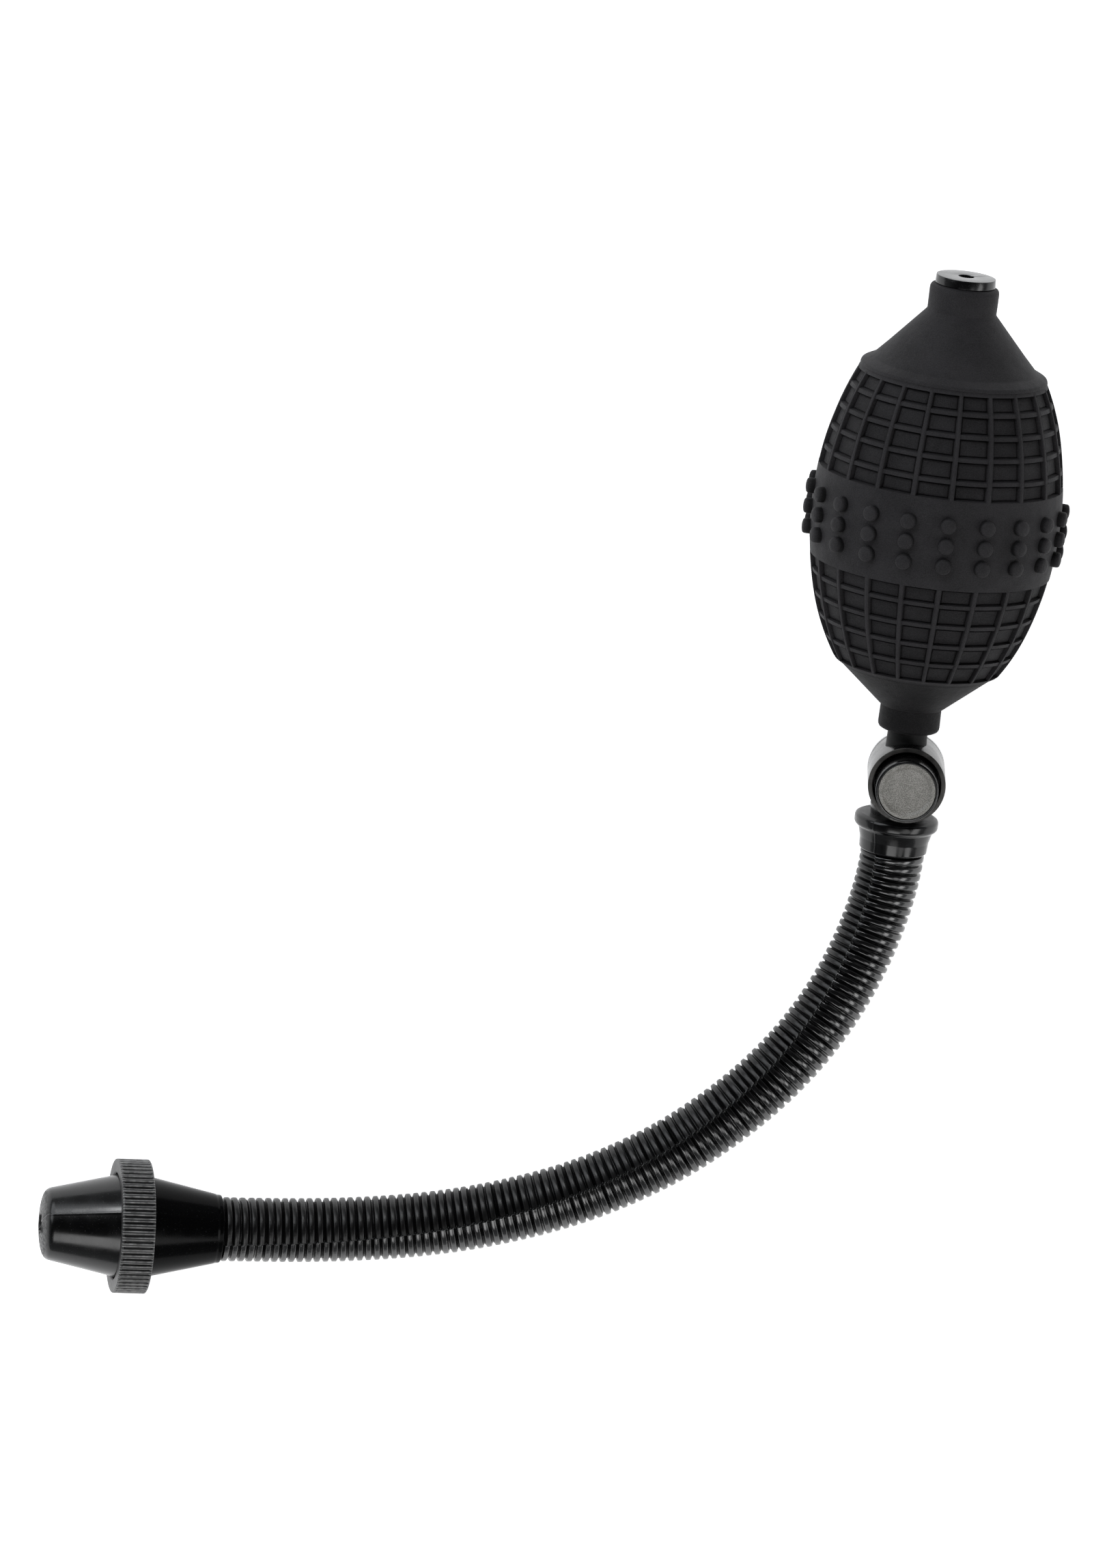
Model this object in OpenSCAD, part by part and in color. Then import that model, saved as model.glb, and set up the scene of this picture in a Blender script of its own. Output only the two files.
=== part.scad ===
// Hand squeeze bulb with a push-to-release valve, a corrugated hose and a screw-on nozzle.
// Origin: bottom centre of the bulb and its valve. +Y runs under the bulb's axis towards the intake
// end, +Z is up from the table that everything lies on, and +X is to the right of the bulb.

/* [Rest pose] */
// How far the intake end of the bulb is raised, in degrees
rest_tilt = 14; // [10:0.5:18]
// Height of the bulb's centre above the table
equator_height = 29.9; // [29:0.1:36]
// Where the bulb's centre lies along Y
equator_y = 12.3; // [5:0.1:20]

/* [Bulb] */
// Largest radius of the rubber wall
bulb_radius = 27.8; // [26:0.1:29]
// Half length of the ellipse that the wall follows
bulb_half_length = 47.3; // [46:0.1:50]
// Thickness of the rubber wall
bulb_wall = 2.7; // [1.5:0.1:3.2]
// Where the middle of the smooth band lies along the axis, from the widest place
band_middle = -1.8; // [-3:0.1:3]
// Half width of the smooth band
band_half = 10.2; // [8:0.1:11]
// Depth of the recessed cells between the ribs
cell_depth = 0.7; // [0.3:0.1:1.0]
// Columns of grip dots round the bulb
dot_columns = 20; // [12:1:22]
// Width of a ring rib
ring_width = 1.2; // [0.8:0.1:2.0]
// Turn of the dots away from the button's side, in degrees
dot_phase = 5.5; // [0:0.5:18]
// Radius of a grip dot
dot_radius = 1.7; // [1.0:0.1:1.9]
// Radius of the bulb over the dots
dot_reach = 29.5; // [29:0.1:31]
// Spacing of the three rows of dots
dot_row = 4.6; // [4:0.1:6]
// Radius of the upper neck
upper_neck_r = 7.7; // [7:0.1:9]
// Radius of the lower neck
lower_neck_r = 6.9; // [6:0.1:8]
// Half width of each squeezing pad, across the bulb's axis
grip_half_width = 16.7; // [15:0.1:19]
// Gap round a squeezing pad
grip_gap = 0.3; // [0.2:0.1:0.6]

/* [Intake valve] */
// Radius of the plug's flange
intake_flange_r = 6.7; // [6:0.1:7.4]
// Thickness of the plug's flange
intake_flange_h = 2; // [1:0.1:3]
// Radius of the air hole
intake_hole_r = 1.75; // [1:0.05:2.4]

/* [Release valve] */
// How far the barrel sits to the right of the bulb's axis
valve_shift = 1; // [-1.5:0.1:1.5]
// Outer radius of the barrel
barrel_r = 8.7; // [8.2:0.1:9.5]
// Distance from the bulb's axis to the barrel's front rim
barrel_front = 8.2; // [7:0.1:10]
// Inner radius of the rim round the button
rim_r = 7.65; // [7.4:0.05:7.8]
// Radius of the button
button_r = 7.0; // [6.5:0.05:7.2]
// How far the button stands out of the rim
button_proud = 5.5; // [4:0.1:7]
// Wire diameter of the release spring
spring_wire = 0.7; // [0.5:0.1:0.8]
// Turns of the release spring
spring_turns = 5; // [4:1:7]

/* [Hose] */
// Outer radius of the hose
hose_r = 7.3; // [6.8:0.1:7.4]
// Inner radius of the hose
hose_bore_r = 5.3; // [5:0.1:5.6]
// Outer radius of the rolled bead on the cuff
bead_r = 9.45; // [9:0.05:10]

/* [Nozzle] */
// Rise of the nozzle above the table, in degrees
nozzle_rise = 10.5; // [8:0.5:12]
// Heading of the nozzle, in degrees round +Z from +X
nozzle_heading = 184.5; // [180:0.5:190]
// Length of the cone between the hose and the union nut
cone_length = 15.6; // [12:0.1:18]
// Largest radius of the cone
cone_r = 11.3; // [10.8:0.1:11.6]
// Outer radius of the union nut over the knurl
nut_r = 15.1; // [14:0.1:15.2]
// Width of the union nut
nut_width = 6.8; // [6.8:0.1:8]
// Ridges of the knurl
knurl_count = 66; // [48:2:90]
// Length of the nozzle in front of the nut
nose_length = 16.8; // [14:0.1:20]
// Radius of the nozzle where it leaves the nut
nose_base_r = 11.5; // [11:0.1:11.6]
// Radius of the nozzle at its tip
nose_tip_r = 7.7; // [7:0.1:9]
// Radius of the outlet hole in the tip
outlet_r = 2.3; // [1.5:0.1:3]
// Length of the outlet hole's straight wall
outlet_land = 4; // [2:0.5:6]

/* [Hidden] */
$fn = 64;
slack = 0.05;
far = 200;

// Bulb: the centres of the ring ribs and the ends of the grid zones, from the middle of the band
ring_ribs = [14.1, 19.1, 23.9, 28.7];
upper_grid_end = 32.9;
lower_grid_end = 33.3;
upper_neck = [45, 51.4];
lower_neck = [-50.3, -44.9];
upper_bore_r = 4.8;
lower_bore_r = 4.4;
neck_round = 1.2;
grip_half_straight = 10;
cavity_half_length = bulb_half_length - 3.3;
cavity_radius = bulb_radius - bulb_wall;

// Valve: stations along the bulb's axis, then along the button's axis
valve_w = -61.4;
inlet_top = -41;
outlet_end = -77;
chamber_r = 6.2;
chamber_front = 1.6;
recess_floor = 3;
barrel_back = -7;
cap_bore_r = 6.6;
cap_bore_end = -4.4;
stem_r = 1.3;
button_face = barrel_front + button_proud;
button_top = button_face - 1.5;
release_travel = 2.5;

// Hose cuff stations along the bulb's axis
cuff_top = -70.1;
bead_width = 3;
cuff_end = -78.5;
cuff_end_r = 7.6;

// Nozzle stations along its own axis, from the end of the hose
ring_width_u = 1;
ring_u_r = 7.7;
nut_back = ring_width_u + cone_length;
nut_front = nut_back + nut_width;
boss_front = nut_back + 3;
boss_r = 12.43;
nut_bore_r = 12.5;
lip_back = nut_front - 1.7;
lip_r = 11.9;
gasket_front = boss_front + 0.8;
tip_u = nut_front + nose_length;
knurl_depth = 0.35;

// Route of the hose's centre line: out of the cuff, down to the table, round, and up to the nozzle
route = [[0, -64, 10.8], [-1.5, -77, 8.4], [-5, -89.5, 7.5], [-9, -99, 7.4], [-15, -109.5, 7.4],
    [-23.5, -120.5, 7.4], [-32.5, -129.5, 7.4], [-41, -136.5, 7.4], [-50, -142.5, 7.4],
    [-60, -148, 7.4], [-73, -153.5, 7.4], [-83.5, -157, 7.4], [-95, -160, 7.4], [-108, -162.5, 7.9],
    [-121.5, -164.4, 9.1], [-130, -165.3, 10.2], [-140, -166.2, 11.9]];
hose_start_direction = [0, -cos(rest_tilt), -sin(rest_tilt)];
nozzle_direction = [cos(nozzle_rise) * cos(nozzle_heading),
    cos(nozzle_rise) * sin(nozzle_heading), sin(nozzle_rise)];

// Frames ------------------------------------------------------------------------------------------

// Z runs along the bulb's axis towards the intake, and -Y is up from the table
module in_bulb_frame() {
    translate([0, equator_y, equator_height]) rotate([rest_tilt - 90, 0, 0]) children();
}

// Z runs out of the valve along the button
module in_button_frame() {
    in_bulb_frame() translate([valve_shift, 0, valve_w]) rotate([90, 0, 0]) children();
}

// Z runs out of the end of the hose along the nozzle
module in_nozzle_frame() {
    translate(route[len(route) - 1]) rotate([0, 90 - nozzle_rise, nozzle_heading]) children();
}

// Shared shapes -----------------------------------------------------------------------------------

// A solid of revolution from a list of [radius, height] points
module turned(points) {
    rotate_extrude($fn = 96) polygon(points);
}

// A quarter round from angle a0 to a1 about [r, z]
function round_points(r, z, radius, a0, a1, steps = 4) =
    [for (i = [0:steps]) let (a = a0 + (a1 - a0) * i / steps) [r + radius * cos(a), z + radius * sin(a)]];

// Bulb --------------------------------------------------------------------------------------------

function wall_point(w, depth = 0) = [bulb_radius * sqrt(1 - pow(w / bulb_half_length, 2)) - depth, w];

function wall_arc(w0, w1, depth = 0, steps = 3) =
    [for (i = [0:steps]) wall_point(w0 + (w1 - w0) * i / steps, depth)];

// The cell rows of one grid zone, as [start, end] pairs along the axis, counted from the band
function cell_rows(zone_end) =
    let (edges = concat([band_half], ring_ribs, [zone_end]), last = len(edges) - 2)
    [for (k = [0:last]) [
        k == 0 ? edges[0] : edges[k] + ring_width / 2,
        k == last ? edges[k + 1] : edges[k + 1] - ring_width / 2]];

function reversed(list) = [for (i = [len(list) - 1:-1:0]) list[i]];

// The stepped outline of one grid zone: each cell row lies below the ribs beside it
function grid_outline(zone_end, side) =
    [for (row = cell_rows(zone_end)) let (w0 = band_middle + side * row[0], w1 = band_middle + side * row[1])
        each concat([wall_point(w0)], wall_arc(w0, w1, cell_depth), [wall_point(w1)])];

upper_cone = [[20.2, 32.2], [18.6, 33.4], [8, 45], [upper_neck_r, upper_neck[0] + 0.6]];
lower_cone = [[lower_neck_r, lower_neck[1]], [7.4, lower_neck[1] + 0.5], [17.4, -35.6]];
cavity_outline = concat(
    [[upper_bore_r, upper_neck[1]], [upper_bore_r, 44.4], [5.4, 43.8], [14.6, 33.4]],
    [for (i = [0:14]) let (w = 32.2 - i * 68.2 / 14)
        [cavity_radius * sqrt(1 - pow(w / cavity_half_length, 2)), w]],
    [[11.8, -37.6], [lower_bore_r, -44.2], [lower_bore_r, lower_neck[0]]]);

// The outer skin from the lower neck up. The band has an odd number of steps, so that no edge runs
// through the middle of a dot.
skin_outline = concat(
    round_points(lower_neck_r - neck_round, lower_neck[0] + neck_round, neck_round, -90, 0),
    lower_cone,
    reversed(grid_outline(lower_grid_end, -1)),
    wall_arc(band_middle - band_half, band_middle + band_half, 0, 5),
    grid_outline(upper_grid_end, 1),
    upper_cone,
    round_points(upper_neck_r - neck_round, upper_neck[1] - neck_round, neck_round, 0, 90));

// A dot belongs to a pad where it lies clear inside the pad's outline, and to the bulb elsewhere
function dot_side(a) = abs(cos(a)) * bulb_radius + dot_radius < grip_half_width ? sign(sin(a)) : 0;

module grip_dot() {
    root = bulb_radius - 0.7;
    rotate_extrude($fn = 24) polygon([[0, root], [dot_radius, root], [dot_radius, dot_reach - 0.5],
        [dot_radius - 0.5, dot_reach], [0, dot_reach]]);
}

module grip_dots(side) {
    for (k = [0:dot_columns - 1], row = [-1:1])
        let (a = dot_phase + k * 360 / dot_columns)
            if (dot_side(a) == side)
                rotate(a) translate([0, 0, band_middle + row * dot_row]) rotate([90, 0, 0]) grip_dot();
}

// The rubber moulding without its dots, before the squeezing pads are parted from it
module bulb_moulding() {
    turned(concat(skin_outline, cavity_outline));
}

// A prism with round ends, square to the bulb's side, that parts a squeezing pad from the bulb
module grip_cutter(half_width, side) {
    rotate([0, 90 * side, 0]) linear_extrude(far / 2) {
        square([2 * grip_half_straight, 2 * half_width], center = true);
        for (end = [-1, 1]) translate([end * grip_half_straight, 0]) circle(r = half_width);
    }
}

module bulb() {
    color([0.16, 0.16, 0.17]) in_bulb_frame() union() {
        difference() {
            bulb_moulding();
            for (side = [-1, 1]) grip_cutter(grip_half_width + grip_gap / 2, side);
        }
        grip_dots(0);
    }
}

module bulb_grip(side) {
    color([0.19, 0.19, 0.2]) in_bulb_frame() union() {
        intersection() {
            bulb_moulding();
            grip_cutter(grip_half_width - grip_gap / 2, side);
        }
        grip_dots(side);
    }
}

module bulb_grip_left() { bulb_grip(-1); }
module bulb_grip_right() { bulb_grip(1); }

// Intake valve ------------------------------------------------------------------------------------

// Flanged plug in the upper neck, with the seat of the intake disc inside it
module intake_plug() {
    top = upper_neck[1];
    foot = 39.8;
    color([0.07, 0.07, 0.08]) in_bulb_frame() difference() {
        turned(concat([[0, foot], [4.6, foot], [5.4, foot + 1], [5.4, foot + 1.6],
            [upper_bore_r - slack, foot + 2.2], [upper_bore_r - slack, top + slack]],
            [[intake_flange_r, top + slack]],
            round_points(intake_flange_r - 0.5, top + intake_flange_h - 0.5, 0.5, 0, 90),
            [[0, top + intake_flange_h]]));
        translate([0, 0, foot - 1]) cylinder(r = 3.2, h = 50.6 - foot + 1);
        translate([0, 0, foot]) cylinder(r = intake_hole_r, h = 20);
    }
}

module intake_disc() {
    color([0.3, 0.3, 0.32]) in_bulb_frame() translate([0, 0, 49.75]) cylinder(r = 2.7, h = 0.8);
}

// A pressed-in stop with three air holes, shared by both one-way valves
module perforated_stop(radius, height, hole_r) {
    difference() {
        cylinder(r = radius, h = height);
        for (a = [0, 120, 240]) rotate(a) translate([radius * 0.55, 0, -1])
            cylinder(r = hole_r, h = height + 2, $fn = 32);
    }
}

module intake_retainer() {
    color([0.75, 0.75, 0.72]) in_bulb_frame() translate([0, 0, 47.1])
        perforated_stop(3.2 - slack, 1.6, 0.9);
}

// Release valve -----------------------------------------------------------------------------------

// Barrel across the bulb's axis, with a spigot up into the bulb and another down into the hose cuff
module valve_body() {
    color([0.08, 0.08, 0.09]) difference() {
        union() {
            in_button_frame() turned(concat([[0, barrel_back], [barrel_r, barrel_back]],
                round_points(barrel_r - 0.4, barrel_front - 0.4, 0.4, 0, 90),
                [[0, barrel_front]]));
            in_bulb_frame() turned([[0, outlet_end], [5.3, outlet_end], [5.8, outlet_end + 1],
                [5.8, -74.6], [6.15, -74.6], [5.8, -73.4], [5.8, -66], [4.35, -60],
                [lower_bore_r - slack, inlet_top - 1.8], [4.9, inlet_top - 1.8], [4.9, inlet_top - 1.2],
                [4, inlet_top], [0, inlet_top]]);
        }
        in_button_frame() {
            translate([0, 0, barrel_back - 1]) cylinder(r = cap_bore_r, h = cap_bore_end - barrel_back + 1);
            translate([0, 0, barrel_back]) cylinder(r = chamber_r, h = chamber_front - barrel_back);
            translate([0, 0, recess_floor]) cylinder(r = rim_r, h = far);
            cylinder(r = stem_r + slack, h = far, $fn = 48);
            for (a = [45:90:315]) rotate(a) translate([2.7, 0, 0]) cylinder(r = 0.7, h = far, $fn = 32);
        }
        in_bulb_frame() {
            translate([0, 0, -50]) cylinder(r = 3, h = far);
            translate([0, 0, valve_w]) cylinder(r = 1.6, h = far);
            translate([0, 0, outlet_end - 1]) cylinder(r = 3.4, h = valve_w - 4 - outlet_end + 1);
        }
    }
}

// Press-in seat at the top of the inlet spigot, above the outlet disc
module check_valve_seat() {
    color([0.75, 0.75, 0.72]) in_bulb_frame() translate([0, 0, -47]) difference() {
        cylinder(r = 3 - slack, h = 6);
        translate([0, 0, -1]) cylinder(r = 1.2, h = 8);
    }
}

module check_valve_disc() {
    color([0.3, 0.3, 0.32]) in_bulb_frame() translate([0, 0, -47.85]) cylinder(r = 2.5, h = 0.8);
}

module check_valve_retainer() {
    color([0.75, 0.75, 0.72]) in_bulb_frame() translate([0, 0, -50 + slack])
        perforated_stop(3 - slack, 1.05, 0.8);
}

// Hollow cap over the rim's recess, with a boss inside that grips the stem
module release_button() {
    skirt = recess_floor + release_travel + 0.2;
    color([0.4, 0.4, 0.38]) in_button_frame() difference() {
        turned(concat([[0, skirt], [button_r, skirt]],
            round_points(button_r - 0.55, button_face - 0.55, 0.55, 0, 90), [[0, button_face]]));
        translate([0, 0, skirt - 1]) difference() {
            cylinder(r = button_r - 1.2, h = button_top - skirt + 1);
            translate([0, 0, 4.3]) cylinder(r = 2.6, h = 10);
        }
        translate([0, 0, skirt - 1]) cylinder(r = stem_r, h = button_top - skirt + 0.6, $fn = 48);
    }
}

module release_stem() {
    color([0.72, 0.58, 0.3]) in_button_frame() union() {
        translate([0, 0, -0.6]) cylinder(r = 3.9, h = 1.05, $fn = 48);
        cylinder(r = stem_r, h = button_top - 0.5, $fn = 48);
    }
}

module release_seal() {
    color([0.12, 0.12, 0.12]) in_button_frame() translate([0, 0, 0.5]) difference() {
        cylinder(r = 3.9, h = 1.05, $fn = 48);
        translate([0, 0, -1]) cylinder(r = stem_r + slack, h = 3, $fn = 48);
    }
}

// One turn of wire climbs one pitch; the ends rest on the recess floor and inside the button
module release_spring() {
    coil_r = 4.3;
    sides = 6;
    per_turn = 14;
    count = spring_turns * per_turn;
    low = recess_floor + spring_wire / 2 + slack;
    climb = button_top - slack - spring_wire / 2 - low;
    function wire_point(i, s) = let (a = 360 * i / per_turn, b = 360 * s / sides,
        r = coil_r + spring_wire / 2 * cos(b))
        [r * cos(a), r * sin(a), low + climb * i / count + spring_wire / 2 * sin(b)];
    points = [for (i = [0:count], s = [0:sides - 1]) wire_point(i, s)];
    walls = [for (i = [0:count - 1], s = [0:sides - 1]) let (t = (s + 1) % sides)
        [i * sides + s, (i + 1) * sides + s, (i + 1) * sides + t, i * sides + t]];
    ends = [[for (s = [0:sides - 1]) s], [for (s = [sides - 1:-1:0]) count * sides + s]];
    color([0.7, 0.7, 0.72]) in_button_frame() polyhedron(points, concat(walls, ends), convexity = 10);
}

// Screw-in plug that closes the back of the barrel, with a coin slot and an O-ring groove
module rear_cap() {
    flange = 1.8;
    color([0.08, 0.08, 0.09]) in_button_frame() difference() {
        turned([[0, barrel_back - slack - flange], [barrel_r - 0.5, barrel_back - slack - flange],
            [barrel_r, barrel_back - slack - flange + 0.5], [barrel_r, barrel_back - slack],
            [cap_bore_r - slack, barrel_back - slack], [cap_bore_r - slack, -6], [5.45, -6],
            [5.45, -4.9], [6.1, -4.9], [6.1, -4.2], [0, -4.2]]);
        translate([-5, -0.6, barrel_back - slack - flange - 1]) cube([10, 1.2, 2]);
    }
}

module rear_cap_seal() {
    color([0.12, 0.12, 0.12]) in_button_frame() translate([0, 0, -5.45])
        rotate_extrude($fn = 64) translate([6, 0]) circle(r = 0.5, $fn = 24);
}

// Hose --------------------------------------------------------------------------------------------

// Rubber cuff with a rolled bead, pushed over the valve's lower spigot
module hose_cuff() {
    bead_half = bead_width / 2;
    color([0.07, 0.07, 0.08]) in_bulb_frame() turned(concat(
        [[hose_bore_r, cuff_end], [cuff_end_r, cuff_end], [8.25, cuff_top - bead_width]],
        round_points(bead_r - bead_half, cuff_top - bead_half, bead_half, -90, 90, 8),
        [[5.85, cuff_top], [5.85, outlet_end - 0.1], [hose_bore_r, outlet_end - 0.1]]));
}

function unit(v) = v / norm(v);

function route_direction(i) = i == 0 ? hose_start_direction
    : i == len(route) - 1 ? nozzle_direction
    : unit(route[i + 1] - route[i - 1]);

// A ring of points about the route: side runs level, and lift stands square to it and the route
function hose_ring(i, radius, sides) =
    let (along = route_direction(i), side = unit(cross(along, [0, 0, 1])), lift = cross(side, along))
    [for (k = [0:sides - 1]) route[i] + radius * (cos(360 * k / sides) * side + sin(360 * k / sides) * lift)];

module hose() {
    sides = 12;
    last = len(route) - 1;
    inner = (last + 1) * sides;
    points = concat([for (i = [0:last]) each hose_ring(i, hose_r, sides)],
        [for (i = [0:last]) each hose_ring(i, hose_bore_r, sides)]);
    outside = [for (i = [0:last - 1], k = [0:sides - 1]) let (n = (k + 1) % sides)
        [i * sides + k, i * sides + n, (i + 1) * sides + n, (i + 1) * sides + k]];
    inside = [for (face = outside) [for (c = reversed(face)) c + inner]];
    start = [for (k = [0:sides - 1]) let (n = (k + 1) % sides) [n, k, k + inner, n + inner]];
    finish = [for (k = [0:sides - 1]) let (n = (k + 1) % sides, e = last * sides)
        [e + k, e + n, e + n + inner, e + k + inner]];
    color([0.09, 0.09, 0.1]) polyhedron(points, concat(outside, inside, start, finish), convexity = 6);
}

// Nozzle ------------------------------------------------------------------------------------------

// Cone on the end of the hose: a spigot inside the hose behind, the boss for the nut in front
module coupling_cone() {
    color([0.07, 0.07, 0.08]) in_nozzle_frame() difference() {
        turned([[0, -8], [4.2, -8], [4.6, -7], [4.6, slack], [ring_u_r, slack],
            [ring_u_r, ring_width_u], [hose_r + 0.1, ring_width_u], [cone_r, nut_back],
            [boss_r, nut_back], [boss_r, boss_front], [0, boss_front]]);
        translate([0, 0, -9]) cylinder(r = 3.4, h = 40);
        translate([0, 0, nut_back - 4]) cylinder(r1 = 3.4, r2 = 8.5, h = 7.1);
    }
}

module nozzle_gasket() {
    color([0.12, 0.12, 0.12]) in_nozzle_frame() translate([0, 0, boss_front]) difference() {
        cylinder(r = 12.2, h = 0.8);
        translate([0, 0, -1]) cylinder(r = 8.6, h = 3);
    }
}

// Knurled nut, whose front lip holds the nozzle's flange against the gasket
module union_nut() {
    edge = 0.6;
    core_r = nut_r - knurl_depth - 0.15;
    color([0.13, 0.13, 0.14]) in_nozzle_frame() difference() {
        union() {
            translate([0, 0, nut_back + edge]) linear_extrude(nut_width - 2 * edge)
                polygon([for (i = [0:2 * knurl_count - 1]) let (a = 180 * i / knurl_count,
                    r = nut_r - (i % 2) * knurl_depth) [r * cos(a), r * sin(a)]]);
            turned([[0, nut_back], [core_r - edge / 2, nut_back], [core_r, nut_back + edge / 2],
                [core_r, nut_front - edge / 2], [core_r - edge / 2, nut_front], [0, nut_front]]);
        }
        translate([0, 0, nut_back - 1]) cylinder(r = nut_bore_r, h = lip_back - nut_back + 1);
        cylinder(r = lip_r, h = far);
    }
}

module nozzle() {
    flange_back = gasket_front + slack;
    inner_end = tip_u - outlet_land;
    color([0.07, 0.07, 0.08]) in_nozzle_frame() difference() {
        turned(concat([[0, flange_back], [nut_bore_r - 0.15, flange_back],
            [nut_bore_r - 0.15, lip_back - 0.1], [nose_base_r, lip_back - 0.1],
            [nose_base_r, nut_front]],
            round_points(nose_tip_r - 1.2, tip_u - 1.2, 1.2, 10, 90), [[0, tip_u]]));
        cylinder(r = outlet_r, h = far);
        translate([0, 0, flange_back - 0.1])
            cylinder(r1 = 9.4, r2 = 4.6, h = inner_end - flange_back + 0.1);
    }
}

// Drawing -----------------------------------------------------------------------------------------

bulb();
bulb_grip_left();
bulb_grip_right();
intake_plug();
intake_disc();
intake_retainer();
valve_body();
check_valve_seat();
check_valve_disc();
check_valve_retainer();
release_button();
release_stem();
release_seal();
release_spring();
rear_cap();
rear_cap_seal();
hose_cuff();
hose();
coupling_cone();
nozzle_gasket();
union_nut();
nozzle();
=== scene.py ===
"""Looks of a hand squeeze bulb with a release valve, a corrugated hose and a screw-on nozzle.

Lengths are in millimetres, and MM turns them into metres where a mesh or a light is made. The bulb's
pieces are made in the bulb's own frame, the valve's in the button's and the nozzle's in the nozzle's:
Z runs along the axis in each, and they are the frames that the CAD model was made in. In formulas, a
is an angle round the axis, r a radius, and z, or w on the bulb, a place along the axis.
"""

import math

import bmesh
import bpy
import numpy as np
from mathutils import Matrix, Vector


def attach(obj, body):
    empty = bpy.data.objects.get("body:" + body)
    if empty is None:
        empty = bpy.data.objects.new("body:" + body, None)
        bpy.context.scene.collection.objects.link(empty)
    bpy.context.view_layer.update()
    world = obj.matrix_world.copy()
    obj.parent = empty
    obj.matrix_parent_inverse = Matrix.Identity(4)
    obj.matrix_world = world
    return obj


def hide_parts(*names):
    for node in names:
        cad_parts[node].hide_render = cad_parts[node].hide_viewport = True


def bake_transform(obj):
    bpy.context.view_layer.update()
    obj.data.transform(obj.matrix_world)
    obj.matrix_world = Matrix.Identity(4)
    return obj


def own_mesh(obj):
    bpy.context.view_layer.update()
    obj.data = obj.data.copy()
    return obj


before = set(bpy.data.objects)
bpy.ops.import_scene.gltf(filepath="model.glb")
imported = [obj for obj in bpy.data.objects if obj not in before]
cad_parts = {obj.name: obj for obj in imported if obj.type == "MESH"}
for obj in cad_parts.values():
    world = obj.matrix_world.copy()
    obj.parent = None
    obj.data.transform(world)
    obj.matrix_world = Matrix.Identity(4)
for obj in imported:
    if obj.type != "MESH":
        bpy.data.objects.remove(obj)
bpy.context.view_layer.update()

MM = 0.001
TAU = 2 * math.pi

# Frames ------------------------------------------------------------------------------------------

BULB_MIDDLE = (0, 12.3, 29.9)
REST_TILT = math.radians(14)
NOZZLE_RISE = math.radians(10.5)
NOZZLE_HEADING = math.radians(184.5)
VALVE_W = -61.4
VALVE_SHIFT = 1.0

# The hose's route: out of the cuff, down to the table, round, and up to the nozzle
ROUTE = [
    (0, -64, 10.8), (-1.5, -77, 8.4), (-5, -89.5, 7.5), (-9, -99, 7.4), (-15, -109.5, 7.4),
    (-23.5, -120.5, 7.4), (-32.5, -129.5, 7.4), (-41, -136.5, 7.4), (-50, -142.5, 7.4),
    (-60, -148, 7.4), (-73, -153.5, 7.4), (-83.5, -157, 7.4), (-95, -160, 7.4), (-108, -162.5, 7.9),
    (-121.5, -164.4, 9.1), (-130, -165.3, 10.2), (-140, -166.2, 11.9),
]
BULB = (
    Matrix.Translation(Vector(BULB_MIDDLE) * MM)
    @ Matrix.Rotation(REST_TILT - math.pi / 2, 4, "X")
)
VALVE = (
    BULB
    @ Matrix.Translation(Vector((VALVE_SHIFT, 0, VALVE_W)) * MM)
    @ Matrix.Rotation(math.pi / 2, 4, "X")
)
NOZZLE = (
    Matrix.Translation(Vector(ROUTE[-1]) * MM)
    @ Matrix.Rotation(NOZZLE_HEADING, 4, "Z")
    @ Matrix.Rotation(math.pi / 2 - NOZZLE_RISE, 4, "Y")
)


def axis_of(matrix):
    """The direction of a frame's Z axis in the world."""
    return (matrix.to_3x3() @ Vector((0, 0, 1))).normalized()


# Meshes ------------------------------------------------------------------------------------------


def mesh_object(name, points, faces, matrix, material, attributes=(), sharp=38):
    """An object from points in millimetres in the frame that matrix gives, with values per point."""
    world = np.asarray(points, float) * MM @ np.array(matrix.to_3x3()).T + np.array(matrix.translation)
    mesh = bpy.data.meshes.new(name)
    mesh.from_pydata(world.tolist(), [], [list(map(int, face)) for face in faces])
    for label, values in dict(attributes).items():
        layer = mesh.attributes.new(label, "FLOAT", "POINT")
        layer.data.foreach_set("value", np.asarray(values, np.float32))
    obj = bpy.data.objects.new(name, mesh)
    bpy.context.collection.objects.link(obj)
    mesh.materials.append(material)
    return finished(obj, sharp)


def finished(obj, sharp):
    """Joins points that coincide, turns faces outwards and shades them smooth up to the sharp angle."""
    bm = bmesh.new()
    bm.from_mesh(obj.data)
    bmesh.ops.remove_doubles(bm, verts=bm.verts, dist=1e-7)
    bmesh.ops.recalc_face_normals(bm, faces=bm.faces)
    bm.to_mesh(obj.data)
    bm.free()
    obj.data.shade_smooth()
    obj.data.set_sharp_from_angle(angle=math.radians(sharp))
    return obj


def grid_faces(rows, columns, wrap_rows=False, wrap_columns=False):
    """Quads of a grid of points stored row by row."""
    i, j = np.meshgrid(np.arange(rows if wrap_rows else rows - 1),
                       np.arange(columns if wrap_columns else columns - 1), indexing="ij")
    up, on = (i + 1) % rows, (j + 1) % columns
    quads = np.stack([i * columns + j, i * columns + on, up * columns + on, up * columns + j], -1)
    return quads.reshape(-1, 4).tolist()


def tube_faces(rows, sides):
    """The faces of a tube with an end cap at each end."""
    caps = [list(range(sides)), [(rows - 1) * sides + k for k in range(sides)]]
    return grid_faces(rows, sides, wrap_columns=True) + caps


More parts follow.
